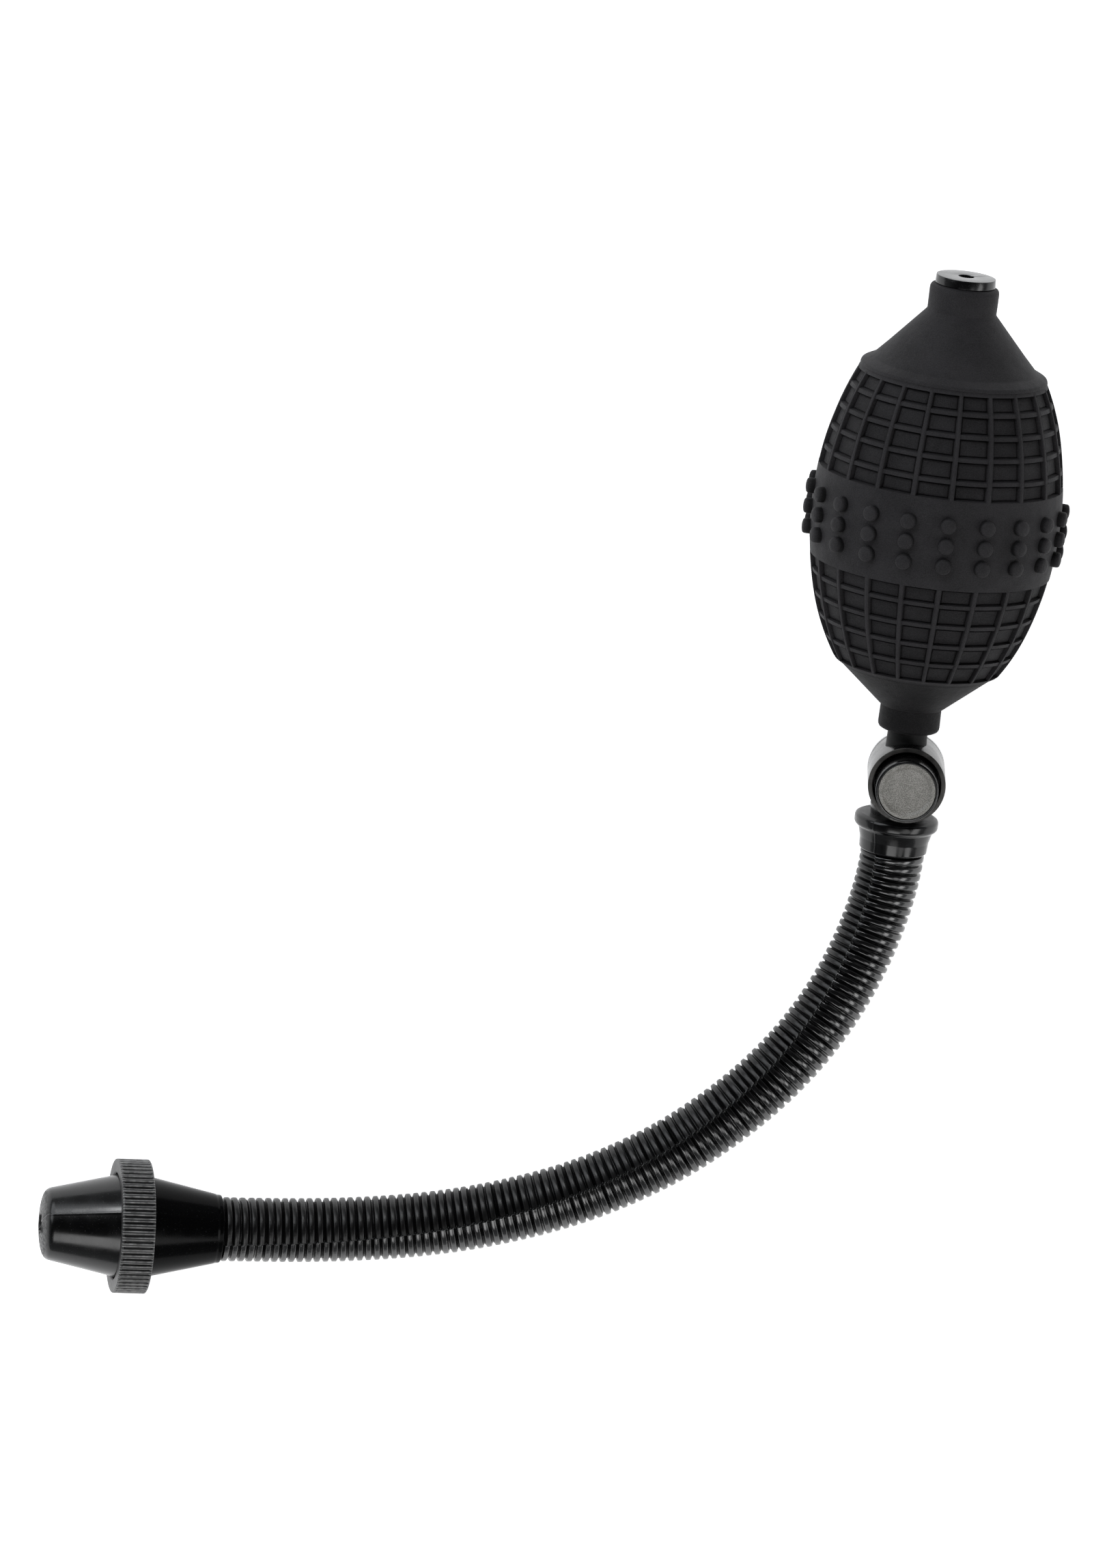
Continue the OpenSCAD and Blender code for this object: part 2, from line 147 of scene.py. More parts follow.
def rounded(corners, steps=4):
    """An outline of (radius, height, fillet) corners, each corner that has a fillet rounded."""
    outline = []
    for k, corner in enumerate(corners):
        here, fillet = np.array(corner[:2], float), corner[2] if len(corner) > 2 else 0
        if not fillet:
            outline.append(here)
            continue
        before = np.array(corners[k - 1][:2], float) - here
        after = np.array(corners[(k + 1) % len(corners)][:2], float) - here
        lengths = np.linalg.norm(before), np.linalg.norm(after)
        before, after = before / lengths[0], after / lengths[1]
        half = math.acos(np.clip(before @ after, -1, 1)) / 2
        reach = min(fillet / math.tan(half), 0.49 * min(lengths))
        a, b = here + before * reach, here + after * reach
        for s in np.linspace(0, 1, steps + 1):
            outline.append((1 - s) ** 2 * a + 2 * s * (1 - s) * here + s ** 2 * b)
    return np.array(outline)


def lathe(name, corners, matrix, material, sides, closed=False,
          ripple=None, lift=None, attributes=None):
    """A turned piece from its outline, which is a loop when closed.

    ripple(angle, radius, height) is added to the radius and lift to the height, and attributes
    holds such a function for each value that the points carry.
    """
    outline = rounded(corners)
    angle = np.arange(sides) * TAU / sides
    r, z = outline[:, :1] + 0 * angle, outline[:, 1:] + 0 * angle
    a = angle + 0 * r
    if ripple:
        r = np.where(r > 0, r + ripple(a, r, z), 0)
    if lift:
        z = z + lift(a, r, z)
    points = np.stack([r * np.cos(a), r * np.sin(a), z], -1).reshape(-1, 3)
    faces = grid_faces(len(outline), sides, wrap_rows=closed, wrap_columns=True)
    values = {} if attributes is None else {k: f(a, r, z).ravel() for k, f in attributes.items()}
    return mesh_object(name, points, faces, matrix, material, values)


def smooth(x, low, high):
    """0 below low, 1 above high, and an S between them."""
    t = np.clip((x - low) / (high - low), 0, 1)
    return t * t * (3 - 2 * t)


def bump(x, middle, half_width, soft):
    """1 within half_width of the middle, falling to 0 over soft beyond it."""
    return 1 - smooth(np.abs(x - middle), half_width, half_width + soft)


# Materials ---------------------------------------------------------------------------------------

WORN_RIM = (0.05, 0.047, 0.043)


class Nodes:
    """A material's node tree with its shader, output and object coordinates in millimetres."""

    def __init__(self, name, **sockets):
        self.material = bpy.data.materials.new(name)
        self.material.use_nodes = True
        self.tree = self.material.node_tree
        self.shader = self.tree.nodes["Principled BSDF"]
        for label, value in sockets.items():
            self.shader.inputs[label.replace("_", " ")].default_value = value
        coordinates = self.tree.nodes.new("ShaderNodeTexCoord")
        scale = self.node("ShaderNodeVectorMath", operation="SCALE", Scale=1 / MM)
        self.link(coordinates.outputs["Object"], scale.inputs[0])
        self.place = scale.outputs[0]
        self.height = None

    def node(self, kind, operation=None, **values):
        node = self.tree.nodes.new(kind)
        if operation:
            node.operation = operation
        for label, value in values.items():
            node.inputs[label.replace("_", " ")].default_value = value
        return node

    def link(self, output, target):
        self.tree.links.new(output, target)

    def noise(self, per_mm, detail=2.0, rough=0.5):
        node = self.node("ShaderNodeTexNoise", Scale=per_mm, Detail=detail, Roughness=rough)
        self.link(self.place, node.inputs["Vector"])
        return node.outputs["Fac"]

    def attribute(self, name):
        """A value that the mesh carries, which is 0 where a piece has none of that name."""
        node = self.tree.nodes.new("ShaderNodeAttribute")
        node.attribute_name = name
        return node.outputs["Fac"]

    def between(self, factor, low, high, start=0.0, end=1.0):
        """factor from start to end becomes a value from low to high."""
        node = self.node("ShaderNodeMapRange", From_Min=start, From_Max=end, To_Min=low, To_Max=high)
        self.link(factor, node.inputs["Value"])
        return node.outputs["Result"]

    def math(self, operation, a, b):
        node = self.node("ShaderNodeMath", operation)
        for socket, value in zip(node.inputs, (a, b)):
            if isinstance(value, (int, float)):
                socket.default_value = value
            else:
                self.link(value, socket)
        return node.outputs[0]

    def colour(self, factor, low, high):
        """A blend by factor from a colour, or from another node's output, to a colour."""
        node = self.tree.nodes.new("ShaderNodeMix")
        node.data_type = "RGBA"
        if isinstance(low, tuple):
            node.inputs["A"].default_value = (*low, 1)
        else:
            self.link(low, node.inputs["A"])
        node.inputs["B"].default_value = (*high, 1)
        self.link(factor, node.inputs["Factor"])
        return node.outputs["Result"]

    def base(self, output):
        self.link(output, self.shader.inputs["Base Color"])

    def roughness(self, output):
        self.link(output, self.shader.inputs["Roughness"])

    def relief(self, factor, height, strength=None):
        """Adds a bump of that height in millimetres on top of the earlier ones."""
        node = self.node("ShaderNodeBump", Strength=1.0, Distance=height * MM)
        if strength:
            self.link(strength, node.inputs["Strength"])
        self.link(factor, node.inputs["Height"])
        if self.height:
            self.link(self.height, node.inputs["Normal"])
        self.height = node.outputs["Normal"]
        self.link(self.height, self.shader.inputs["Normal"])


def scaled(colour, factor):
    """A colour made darker or lighter."""
    return tuple(c * factor for c in colour)


def bulb_rubber():
    """Matt moulded rubber: fine grain and blotches, paler on the ribs, with painted shade in the cells,
    in the creases, at the dots' feet and on the lower cone and neck.
    """
    n = Nodes("bulb_rubber", Sheen_Weight=0.02, Sheen_Roughness=0.45, Specular_IOR_Level=0.13)
    colour = (0.0172, 0.0165, 0.0177)
    blotch = n.between(n.noise(0.12, 3), 0, 0.3, 0.35, 0.65)
    speck = n.between(n.noise(4.5, 2, 0.7), 0, 0.6, 0.35, 0.65)
    # The relief attribute brings in the paler ribs together with painted shade in the cells, creases
    # and dots' feet.
    ribs = n.math("MULTIPLY", n.attribute("relief"), 0.45)
    tone = n.between(n.math("ADD", ribs, n.math("ADD", blotch, speck)), 0, 1, -0.05, 1.05)
    n.base(n.colour(tone, scaled(colour, 0.3), scaled(colour, 1.5)))
    n.roughness(n.between(n.noise(0.6, 3), 0.58, 0.76))
    n.relief(n.noise(3.2, 3, 0.6), 0.07)
    n.relief(n.noise(0.35, 2), 0.10)
    return n.material


def gloss_black(name, colour, smoothest, hazy, wave, specular):
    """Polished black moulding: slow waves in the surface, a little haze, fine dust and worn rims."""
    n = Nodes(name, Specular_IOR_Level=specular)
    dust = n.between(n.noise(2.4, 2, 0.7), 0, 1, 0.62, 0.78)
    dusty = n.colour(dust, colour, scaled(colour, 9))
    n.base(n.colour(n.attribute("pale"), dusty, WORN_RIM))
    haze = n.between(n.noise(0.25, 3), smoothest, hazy, 0.3, 0.7)
    scratches = n.between(n.noise(1.6, 3, 0.7), 0.1, 0.34, 0.4, 0.6)
    worn = n.math("MULTIPLY", n.attribute("worn"), scratches)
    n.roughness(n.math("ADD", n.math("ADD", haze, worn), n.math("MULTIPLY", dust, 0.18)))
    n.relief(n.noise(0.16, 2), wave)
    n.relief(n.noise(6.0, 2), 0.0016)
    return n.material


def satin_black():
    """The spigot's dull moulding: hardly any gloss and a fine grain."""
    n = Nodes("satin_black", Specular_IOR_Level=0.15)
    n.base(n.colour(n.noise(2, 2), (0.003, 0.003, 0.003), (0.008, 0.008, 0.008)))
    n.roughness(n.between(n.noise(1, 2), 0.5, 0.65))
    n.relief(n.noise(4, 2), 0.01)
    return n.material


def button_grey():
    """Satin grey face: fine grain and a faint smear."""
    n = Nodes("button_grey", Specular_IOR_Level=0.5)
    grain = n.math("MULTIPLY", n.noise(5, 2, 0.7), 0.86)
    smear = n.math("MULTIPLY", n.noise(0.5, 2), 0.14)
    tone = n.between(n.math("ADD", grain, smear), 0, 1, 0.43, 0.57)
    n.base(n.colour(tone, (0.106, 0.102, 0.091), (0.267, 0.26, 0.239)))
    n.roughness(n.between(n.noise(0.8, 3), 0.34, 0.5))
    n.relief(n.noise(7, 2), 0.006)
    return n.material


def hose_rubber(name, specular):
    """Semi-gloss rubber with patches of bloom, rougher where the moulding is dull."""
    n = Nodes(name, Specular_IOR_Level=specular)
    bloom = n.noise(0.5, 4, 0.65)
    dull = n.attribute("dull")
    pale = n.math("MULTIPLY", n.between(bloom, 0, 1, 0.35, 0.75), n.between(dull, 1.0, 0.6))
    n.base(n.colour(pale, (0.0008, 0.0008, 0.0009), (0.0032, 0.0032, 0.0034)))
    haze = n.between(bloom, 0.15, 0.23, 0.3, 0.7)
    n.roughness(n.math("ADD", haze, n.math("MULTIPLY", dull, 0.15)))
    n.relief(n.noise(0.5, 2), 0.002)
    n.relief(n.noise(1.6, 4, 0.7), 0.06, n.attribute("mottle"))
    return n.material


def nut_black():
    """Satin moulding whose ridge edges are pale in patches: a painted highlight along the knurl edges,
    with some wear.
    """
    n = Nodes("nut_black", Specular_IOR_Level=0.5)
    patches = n.between(n.noise(0.6, 4, 0.65), 0.25, 1, 0.36, 0.64)
    # Painted highlight, with some wear: pale colour on the knurl edges in patches.
    edge_highlight_and_wear = n.math("MULTIPLY", n.attribute("edge"), patches)
    n.base(n.colour(edge_highlight_and_wear, (0.0125, 0.0125, 0.0129), (0.27, 0.27, 0.265)))
    n.roughness(n.between(n.noise(1.2, 3), 0.36, 0.56))
    n.relief(n.noise(2.2, 3), 0.02)
    return n.material


def plain(name, colour, smoothest, roughest, grain, height, metallic=0.0):
    """A small inner part: its colour varies a little, and its surface has a fine grain."""
    n = Nodes(name, Metallic=metallic)
    n.base(n.colour(n.noise(grain / 3, 2), scaled(colour, 0.85), scaled(colour, 1.12)))
    n.roughness(n.between(n.noise(grain, 2), smoothest, roughest))
    n.relief(n.noise(grain, 2), height)
    return n.material


MATERIALS = {
    "bulb_rubber": bulb_rubber(),
    "gloss_black": gloss_black("gloss_black", (0.0015, 0.0015, 0.0016), 0.16, 0.26, 0.02, 0.42),
    "gloss_deep": gloss_black("gloss_deep", (0.0013, 0.0013, 0.0014), 0.12, 0.2, 0.012, 0.05),
    "satin_black": satin_black(),
    "button_grey": button_grey(),
    "hose_rubber": hose_rubber("hose_rubber", 0.36),
    "hose_gloss": hose_rubber("hose_gloss", 0.8),
    "nut_black": nut_black(),
    "inner_white": plain("inner_white", (0.55, 0.55, 0.52), 0.35, 0.5, 3, 0.01),
    "flap_rubber": plain("flap_rubber", (0.08, 0.08, 0.085), 0.5, 0.65, 2, 0.02),
    "seal_rubber": plain("seal_rubber", (0.02, 0.02, 0.02), 0.4, 0.55, 2, 0.015),
    "stem_brass": plain("stem_brass", (0.75, 0.58, 0.3), 0.2, 0.35, 4, 0.006, metallic=1.0),
    "spring_steel": plain("spring_steel", (0.6, 0.6, 0.62), 0.22, 0.36, 5, 0.004, metallic=1.0),
}


def shown(obj, body, slot, *nodes):
    """The piece rides on the body and stands for the CAD nodes, which it hides; slot is not used."""
    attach(obj, body)
    if nodes:
        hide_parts(*nodes)
    return obj


# Camera ------------------------------------------------------------------------------------------

IMAGE_HEIGHT = 2296
CAMERA_TURN = math.radians(6.78)
CAMERA_PLACE = Vector((-77.4, -58.15, 2000)) * MM
FOCAL_PIXELS = 12962


def make_camera():
    """Straight above the table, turned a little, far off with a long lens."""
    data = bpy.data.cameras.new("camera")
    data.sensor_fit = "VERTICAL"
    data.sensor_height = 24
    data.lens = FOCAL_PIXELS * data.sensor_height / IMAGE_HEIGHT
    data.clip_end = 20
    camera = bpy.data.objects.new("camera", data)
    camera.location = CAMERA_PLACE
    camera.rotation_euler = (0, 0, CAMERA_TURN)
    bpy.context.collection.objects.link(camera)
    bpy.context.scene.camera = camera


make_camera()

# Hose --------------------------------------------------------------------------------------------

HOSE_R = 7.3
CREST_R = HOSE_R - 0.08
RIDGE_COUNT = 101
RIDGE_DEPTH = 0.9
POINTS_PER_RIDGE = 12
HALVES_OUT_OF_STEP = 0.2
SEAM_START = math.radians(57)
SEAM_TWIST = math.radians(62)
SEAM_WIDTH = 0.02
MOTTLED_RIDGES = (60, 98)


def spline(points, first_direction, last_direction, count):
    """Evenly spaced points on the clamped cubic spline through the points, and the unit tangents."""
    p = np.array(points, float)
    t = np.concatenate([[0], np.cumsum(np.linalg.norm(np.diff(p, axis=0), axis=1))])
    h = np.diff(t)
    slope = np.diff(p, axis=0) / h[:, None]
    n = len(p)
    system, right = np.zeros((n, n)), np.zeros((n, 3))
    system[0, 0] = system[-1, -1] = 1
    right[0], right[-1] = first_direction, last_direction
    for i in range(1, n - 1):
        system[i, i - 1:i + 2] = h[i], 2 * (h[i - 1] + h[i]), h[i - 1]
        right[i] = 3 * (h[i] * slope[i - 1] + h[i - 1] * slope[i])
    tangent = np.linalg.solve(system, right)
    fine = np.linspace(0, t[-1], 4000)
    k = np.clip(np.searchsorted(t, fine, side="right") - 1, 0, n - 2)
    s = ((fine - t[k]) / h[k])[:, None]
    d = h[k][:, None]
    curve = ((1 + 2 * s) * (1 - s) ** 2 * p[k] + s * (1 - s) ** 2 * d * tangent[k]
             + s * s * (3 - 2 * s) * p[k + 1] + s * s * (s - 1) * d * tangent[k + 1])
    along = np.concatenate([[0], np.cumsum(np.linalg.norm(np.diff(curve, axis=0), axis=1))])
    even = np.linspace(0, along[-1], count)
    centre = np.stack([np.interp(even, along, curve[:, axis]) for axis in range(3)], -1)
    direction = np.gradient(centre, axis=0)
    return centre, direction / np.linalg.norm(direction, axis=1)[:, None], along[-1]


def ridge_height(place):
    """The height of a ridge, 0 to 1, at a place counted in ridges: rounded, with a narrow groove."""
    t = np.abs((place % 1) - 0.5) * 2
    return 1 - 0.22 * t * t - 0.78 * smooth(t, 0.5, 0.96)


def make_hose():
    """The corrugated hose: a dull half and a glossy half, on two seams that wind slowly round it."""
    count = RIDGE_COUNT * POINTS_PER_RIDGE + 1
    centre, along, length = spline(ROUTE, -axis_of(BULB), axis_of(NOZZLE), count)
    side = np.cross(along, (0, 0, 1))
    side /= np.linalg.norm(side, axis=1)[:, None]
    lift = np.cross(side, along)
    beside_seam = [0.7, 1.6, *range(5, 176, 5), 178.4, 179.3]
    turn = np.radians([-a for a in reversed(beside_seam)] + beside_seam)
    sides = len(turn)
    place = np.linspace(0, RIDGE_COUNT, count)[:, None]
    angle = turn + SEAM_START + SEAM_TWIST * place / RIDGE_COUNT
    inner_half = (turn < 0) + 0 * place
    ridge = np.minimum(place.astype(int), RIDGE_COUNT)
    jitter = np.random.default_rng(7).normal(0, 1, (2, RIDGE_COUNT + 2))
    depth = RIDGE_DEPTH * (1 + 0.08 * jitter[1][ridge])
    height = ridge_height(place + inner_half * (HALVES_OUT_OF_STEP + 0.05 * jitter[0][ridge]))
    seam = np.exp(-(turn / SEAM_WIDTH) ** 2) + np.exp(-((np.abs(turn) - math.pi) / SEAM_WIDTH) ** 2)
    groove = depth * (1 - height) * (1 - 0.5 * seam)
    radius = CREST_R - groove + 0.03 * seam * height - 0.05 * inner_half
    ring = np.cos(angle)[..., None] * side[:, None] + np.sin(angle)[..., None] * lift[:, None]
    points = centre[:, None] + radius[..., None] * ring
    mottle = np.broadcast_to(0.02 + smooth(place, *MOTTLED_RIDGES), radius.shape)
    hose = mesh_object("hose_corrugated", points.reshape(-1, 3), tube_faces(count, sides), Matrix(),
                       MATERIALS["hose_rubber"], {"dull": inner_half.ravel(), "mottle": mottle.ravel()},
                       sharp=80)
    hose.data.materials.append(MATERIALS["hose_gloss"])
    glossy = [value.value < 0.5 for value in hose.data.attributes["dull"].data]
    for face in hose.data.polygons:
        face.material_index = int(all(glossy[point] for point in face.vertices))
    shown(hose, "root", "hose_rubber", "hose")
    return hose, centre[::POINTS_PER_RIDGE] * MM, length * MM


hose, hose_path, hose_length = make_hose()

# Nozzle end: cone, union nut and nozzle ---------------------------------------------------------

# Places along the nozzle's axis, from the hose's end
CONE_BACK = 1.0
NUT_BACK = 16.6
NUT_FRONT = 24.0
TIP_U = 40.8
TIP_EDGE = (TIP_U - 1.6, TIP_U - 0.9)

OUTLET_R = 2.3
NUT_R = 15.1
KNURL_COUNT = 66


def seam_line(where, width, height):
    """A fine raised line along a moulding at an angle, as a lathe's ripple."""
    def ripple(a, r, z):
        turn = (a - where + math.pi) % TAU - math.pi
        return height * np.exp(-(turn * r / width) ** 2)
    return ripple


def make_cone():
    """The hose's end cone with the boss that the nut and the gasket sit on."""
    seam = seam_line(math.radians(197), 0.12, 0.06)
    cone = lathe("coupling_cone_moulded", [
        (0, -8), (4.5, -8, 0.6), (4.6, 0.05), (7.65, 0.05, 0.3), (7.7, CONE_BACK, 0.25),
        (7.9, CONE_BACK + 0.5, 0.3), (11.3, NUT_BACK - 0.15, 0.2), (12.43, NUT_BACK - 0.05),
        (12.43, NUT_BACK + 3), (8.5, NUT_BACK + 3), (3.4, NUT_BACK - 4), (0, NUT_BACK - 4)],
        NOZZLE, MATERIALS["gloss_deep"], 240, ripple=seam)
    return shown(cone, "root", "gloss_black", "coupling_cone")


def from_knurl_middle(a):
    """0 in the middle of a knurl ridge and 1 halfway to the next."""
    return np.abs((a / TAU * KNURL_COUNT) % 1 - 0.5) * 2


def make_nut():
    """The union nut, with flat-topped knurl ridges that die out at its edges."""
    low, high = NUT_BACK, NUT_FRONT

    def knurl(a, r, z):
        wide = smooth(np.minimum(z - low, high - z), 0.35, 0.7)
        return -0.66 * smooth(from_knurl_middle(a), 0.42, 0.85) * wide * (r > NUT_R - 1)

    # Painted highlight: marks the knurl ridges' edges, which the nut's material paints pale.
    def edge(a, r, z):
        return np.where(r > NUT_R - 1, bump(from_knurl_middle(a), 0.4, 0.07, 0.12), 0)

    outside = NUT_R - 0.05
    middle = [(outside, z) for z in np.linspace(low + 0.75, high - 0.75, 5)]
    nut = lathe("union_nut_knurled", [
        (12.5, low, 0.2), (outside, low, 0.55), *middle, (outside, high, 0.5), (12.15, high, 0.25),
        (11.9, high - 0.4, 0.2), (11.9, high - 2.2), (12.5, high - 2.2)],
        NOZZLE, MATERIALS["nut_black"], KNURL_COUNT * 12, closed=True,
        ripple=knurl, attributes={"edge": edge})
    return shown(nut, "union_nut", "nut_black", "union_nut")


def make_nozzle():
    """The tapered nose: a moulding seam that runs on over a domed, dull tip, and a ragged outlet."""
    seam = seam_line(math.radians(198), 0.13, 0.07)
    spur_at, nib_at = 3.5, 2.75

    def ripple(a, r, z):
        ragged = 0.28 * np.sin(2 * a + 1.0) + 0.16 * np.sin(5 * a) + 0.1 * np.sin(9 * a + 2)
        spur = -1.3 * np.exp(-(((a - spur_at) / 0.14) ** 2))
        near_hole = (r < OUTLET_R + 0.9) * smooth(z, TIP_U - 1.2, TIP_U - 0.5)
        return seam(a, r, z) + near_hole * (ragged + spur)

    def lift(a, r, z):
        nib = 0.7 * np.exp(-(((a - nib_at) / 0.22) ** 2)) * bump(r, OUTLET_R + 0.4, 0.35, 0.5)
        crack = -0.12 * np.exp(-(((a - spur_at) * r / 0.16) ** 2)) * smooth(r, 2.6, 3.2)
        return (nib + crack) * smooth(z, *TIP_EDGE)

    def dull(a, r, z):
        return 1.1 * smooth(z, *TIP_EDGE)

    nose = lathe("nozzle_moulded", [
        (9.4, NUT_BACK + 3.85), (12.35, NUT_BACK + 3.85, 0.2), (12.35, NUT_FRONT - 2.3, 0.2),
        (11.5, NUT_FRONT - 2.3), (11.45, NUT_FRONT - 0.3, 0.4), (8.2, 38.3), (8.05, 38.85),
        (7.85, 39.2), (7.5, 39.55), (7.0, 39.87), (6.2, 40.15), (5.0, 40.42), (3.8, 40.58),
        (3.2, 40.64), (2.8, 40.68), (2.5, 40.6), (OUTLET_R, 40.3), (OUTLET_R, TIP_U - 4),
        (4.6, TIP_U - 4)],
        NOZZLE, MATERIALS["gloss_black"], 240, closed=True,
        ripple=ripple, lift=lift, attributes={"worn": dull})
    return shown(nose, "nozzle", "gloss_black", "nozzle")


cone, nut, nose = make_cone(), make_nut(), make_nozzle()

# Bulb --------------------------------------------------------------------------------------------

# Places along the bulb's axis, from its middle
BULB_HALF = 47.3
SKIN_ENDS = (-46, 46)
BAND = (-12.0, 8.4)
GRID = (-35.2, 31.1)
LEDGES = (GRID[0] + 0.3, GRID[1] - 0.45)
RINGS = [-30.5, -25.7, -20.9, -15.9, 12.3, 17.3, 22.1, 26.9]
NECK_UP = (45.0, 51.4)
NECK_LOW = (-50.3, -44.9)

BULB_R = 27.8
COLUMNS = 20
DOT_SPACING = 4.6
PHASE = math.radians(4)
CELL_DEPTH = 0.8
CREASE = 0.28
BAR_HEIGHT = 0.74
RING_HALF = 0.42
RIB_HALF = 0.48
RIB_RADIUS = 26.5


def wall(w):
    """The radius of the skin at a place along the axis."""
    return BULB_R * np.sqrt(1 - (w / BULB_HALF) ** 2)


def grid_edges(w, a):
    """How far a point is past the nearest cross bar's edge, and from the nearest rib's middle."""
    across = np.abs(w[..., None] - np.array(RINGS)).min(-1) - RING_HALF
    for edge in (w - BAND[1], LEDGES[1] - w):
        across = np.where(w > 0, np.minimum(across, edge), across)
    for edge in (BAND[0] - w, w - LEDGES[0]):
        across = np.where(w < 0, np.minimum(across, edge), across)
    sector = (a - PHASE) / TAU * COLUMNS
    off = np.abs(sector - np.round(sector)) * TAU / COLUMNS * RIB_RADIUS
    return across, off


def relief(w, a):
    """How deep the skin lies under the outline, and a tone that is high on a rib and carries painted
    shade: lower in the open cells and lowest in a crease.
    """
    across, off = grid_edges(w, a)
    in_grid = ((w > BAND[1]) & (w < GRID[1])) | ((w < BAND[0]) & (w > GRID[0]))
    bar = 1 - smooth(across, 0, 0.16)
    rib = 1 - smooth(off - RIB_HALF, 0, 0.18)
    at_band = (w > BAND[0] - 0.2) & (w < BAND[1] + 0.2)
    at_end = (w > GRID[1] - 0.5) | (w < GRID[0] + 0.35)
    crown = 1.1 - 0.16 * (off / RIB_HALF) ** 2 * (off < RIB_HALF)
    height = np.maximum(bar * np.where(at_band | at_end, 1.0, BAR_HEIGHT), rib * crown)
    beside_bar = bump(across, 0.28, 0.03, 0.12) * (1 - rib)
    beside_rib = bump(off - RIB_HALF, 0.30, 0.03, 0.14) * (1 - bar)
    open_cell = 1 - np.maximum(bar, rib)
    crease = np.maximum(beside_bar, beside_rib) * open_cell
    pane = off / RIB_RADIUS - math.pi / COLUMNS
    flat = wall(np.clip(w, *SKIN_ENDS)) * (1 - math.cos(math.pi / COLUMNS) / np.cos(pane)) * 0.8
    depth = CELL_DEPTH * (1 - height) + np.clip(flat, 0, 0.4) * open_cell + CREASE * crease
    # Painted shade: the tone falls in the open cells, and further in the creases beside the bars and
    # ribs.
    tone = np.clip(height, 0, 1) - 1.2 * crease
    return np.where(in_grid, depth, 0), np.where(in_grid, tone, 0.6)


def shifted_bars(w, a, bars):
    """Moves each cell's cross bars a little along the axis, as they are in the mould."""
    cell = np.floor((a - PHASE) / TAU * COLUMNS).astype(int) % COLUMNS
    off = grid_edges(w, a)[1]
    for k, middle in enumerate(RINGS):
        w = w + bars[k][cell] * bump(w, middle, 0.9, 1.0) * smooth(off, RIB_HALF, RIB_HALF + 0.2)
    return w


def grid_rows():
    """Places along the axis from the lower ledge to the shoulder, closer together at the ring ribs."""
    rows = set(np.round(np.arange(GRID[0] + 0.5, GRID[1], 0.9), 3))
    steps = [0, 0.25, 0.42, 0.5, 0.58, 0.66, 0.72, 0.8, 0.92]
    for ring in RINGS:
        rows |= {round(ring + side * d, 3) for d in steps for side in (-1, 1)}
    for edge, side in ((BAND[1], 1), (BAND[0], -1), (LEDGES[1], -1), (LEDGES[0], 1)):
        rows |= {round(edge + side * d, 3) for d in (-0.3, -0.12, 0, 0.08, 0.16, 0.22, 0.3, 0.4, 0.55)}
    kept = sorted(w for w in rows | set(GRID) if GRID[0] <= w <= GRID[1])
    return np.array([w for k, w in enumerate(kept) if k == 0 or w - kept[k - 1] > 0.05])


def column_angles(side):
    """Angles from the top of the bulb round one half, closer together at the meridian ribs."""
    half = [0, 0.5, 0.9, 1.08, 1.28, 1.5, 1.62, 1.75, 1.95, 2.3, 3.2, 4.6, 6.2, 7.6, 9]
    offsets = np.radians([-d for d in half] + half)
    angles = {round(float(PHASE + k * TAU / COLUMNS + d), 5) for k in range(-11, 11) for d in offsets}
    inside = [a for a in angles if 0.003 < side * a < math.pi - 0.003]
    return np.array(sorted([0.0, side * math.pi, *inside], key=abs))


def bulb_outline():
    """The closed outline of the rubber wall, and which of its points lie on the ribbed skin."""
    w = grid_rows()
    skin = np.stack([wall(w), w], -1)
    low = rounded([(4.35, NECK_LOW[0]), (6.95, NECK_LOW[0], 1.3), (6.85, NECK_LOW[1], 0.15),
                   (7.35, NECK_LOW[1] + 0.3, 0.2), (9.3, -42.9, 2), (17.0, -36.2, 0.5),
                   (17.4, GRID[0] - 0.12)])
    high = rounded([(21.0, GRID[1] + 0.25, 0.3), (20.75, 32.3, 0.7), (18.35, 33.5, 1.6),
                    (15.2, 36.9, 3), (8.0, 45.05, 0.25), (7.7, NECK_UP[0] + 0.5, 0.2),
                    (7.75, NECK_UP[1], 1.3), (4.8, NECK_UP[1])])
    hollow = [(25.1 * math.sqrt(1 - (v / 44) ** 2), v) for v in np.linspace(32, -36, 18)]
    inner = np.array([(4.8, 44.4), (14.6, 33.4), *hollow, (11.8, -37.6), (4.35, -44.2)])
    outline = np.concatenate([low[:-1], skin, high, inner])
    on_skin = np.zeros(len(outline), bool)
    on_skin[len(low) - 1:len(low) - 1 + len(skin)] = True
    return outline, on_skin


def dot_mesh(a, w):
    """A domed grip dot, sunk a little into the skin, as points in the bulb's frame, faces and a tone.
    """
    outline = rounded([(0, -1.0), (1.76, -1.0), (1.74, 0.3), (1.72, 0.7), (1.66, 1.62, 0.7),
                       (0.7, 1.84, 0.6), (0, 1.88)])
    sides = 28
    turn = np.arange(sides) * TAU / sides
    r, h = outline[:, :1] + 0 * turn, outline[:, 1:] + 0 * turn
    across, up = r * np.cos(turn), r * np.sin(turn)
    base = wall(w)
    out = np.array((math.sin(a), -math.cos(a), 0))
    level = np.array((math.cos(a), math.sin(a), 0))
    points = (base + h)[..., None] * out + across[..., None] * level
    points[..., 2] += w + up
    # Painted shade: the tone is darkest at the dot's foot and pales towards its dome.
    tone = -1.8 + 2.5 * smooth(h, 0.3, 1.2)
    return points.reshape(-1, 3), grid_faces(len(outline), sides, wrap_columns=True), tone.ravel()


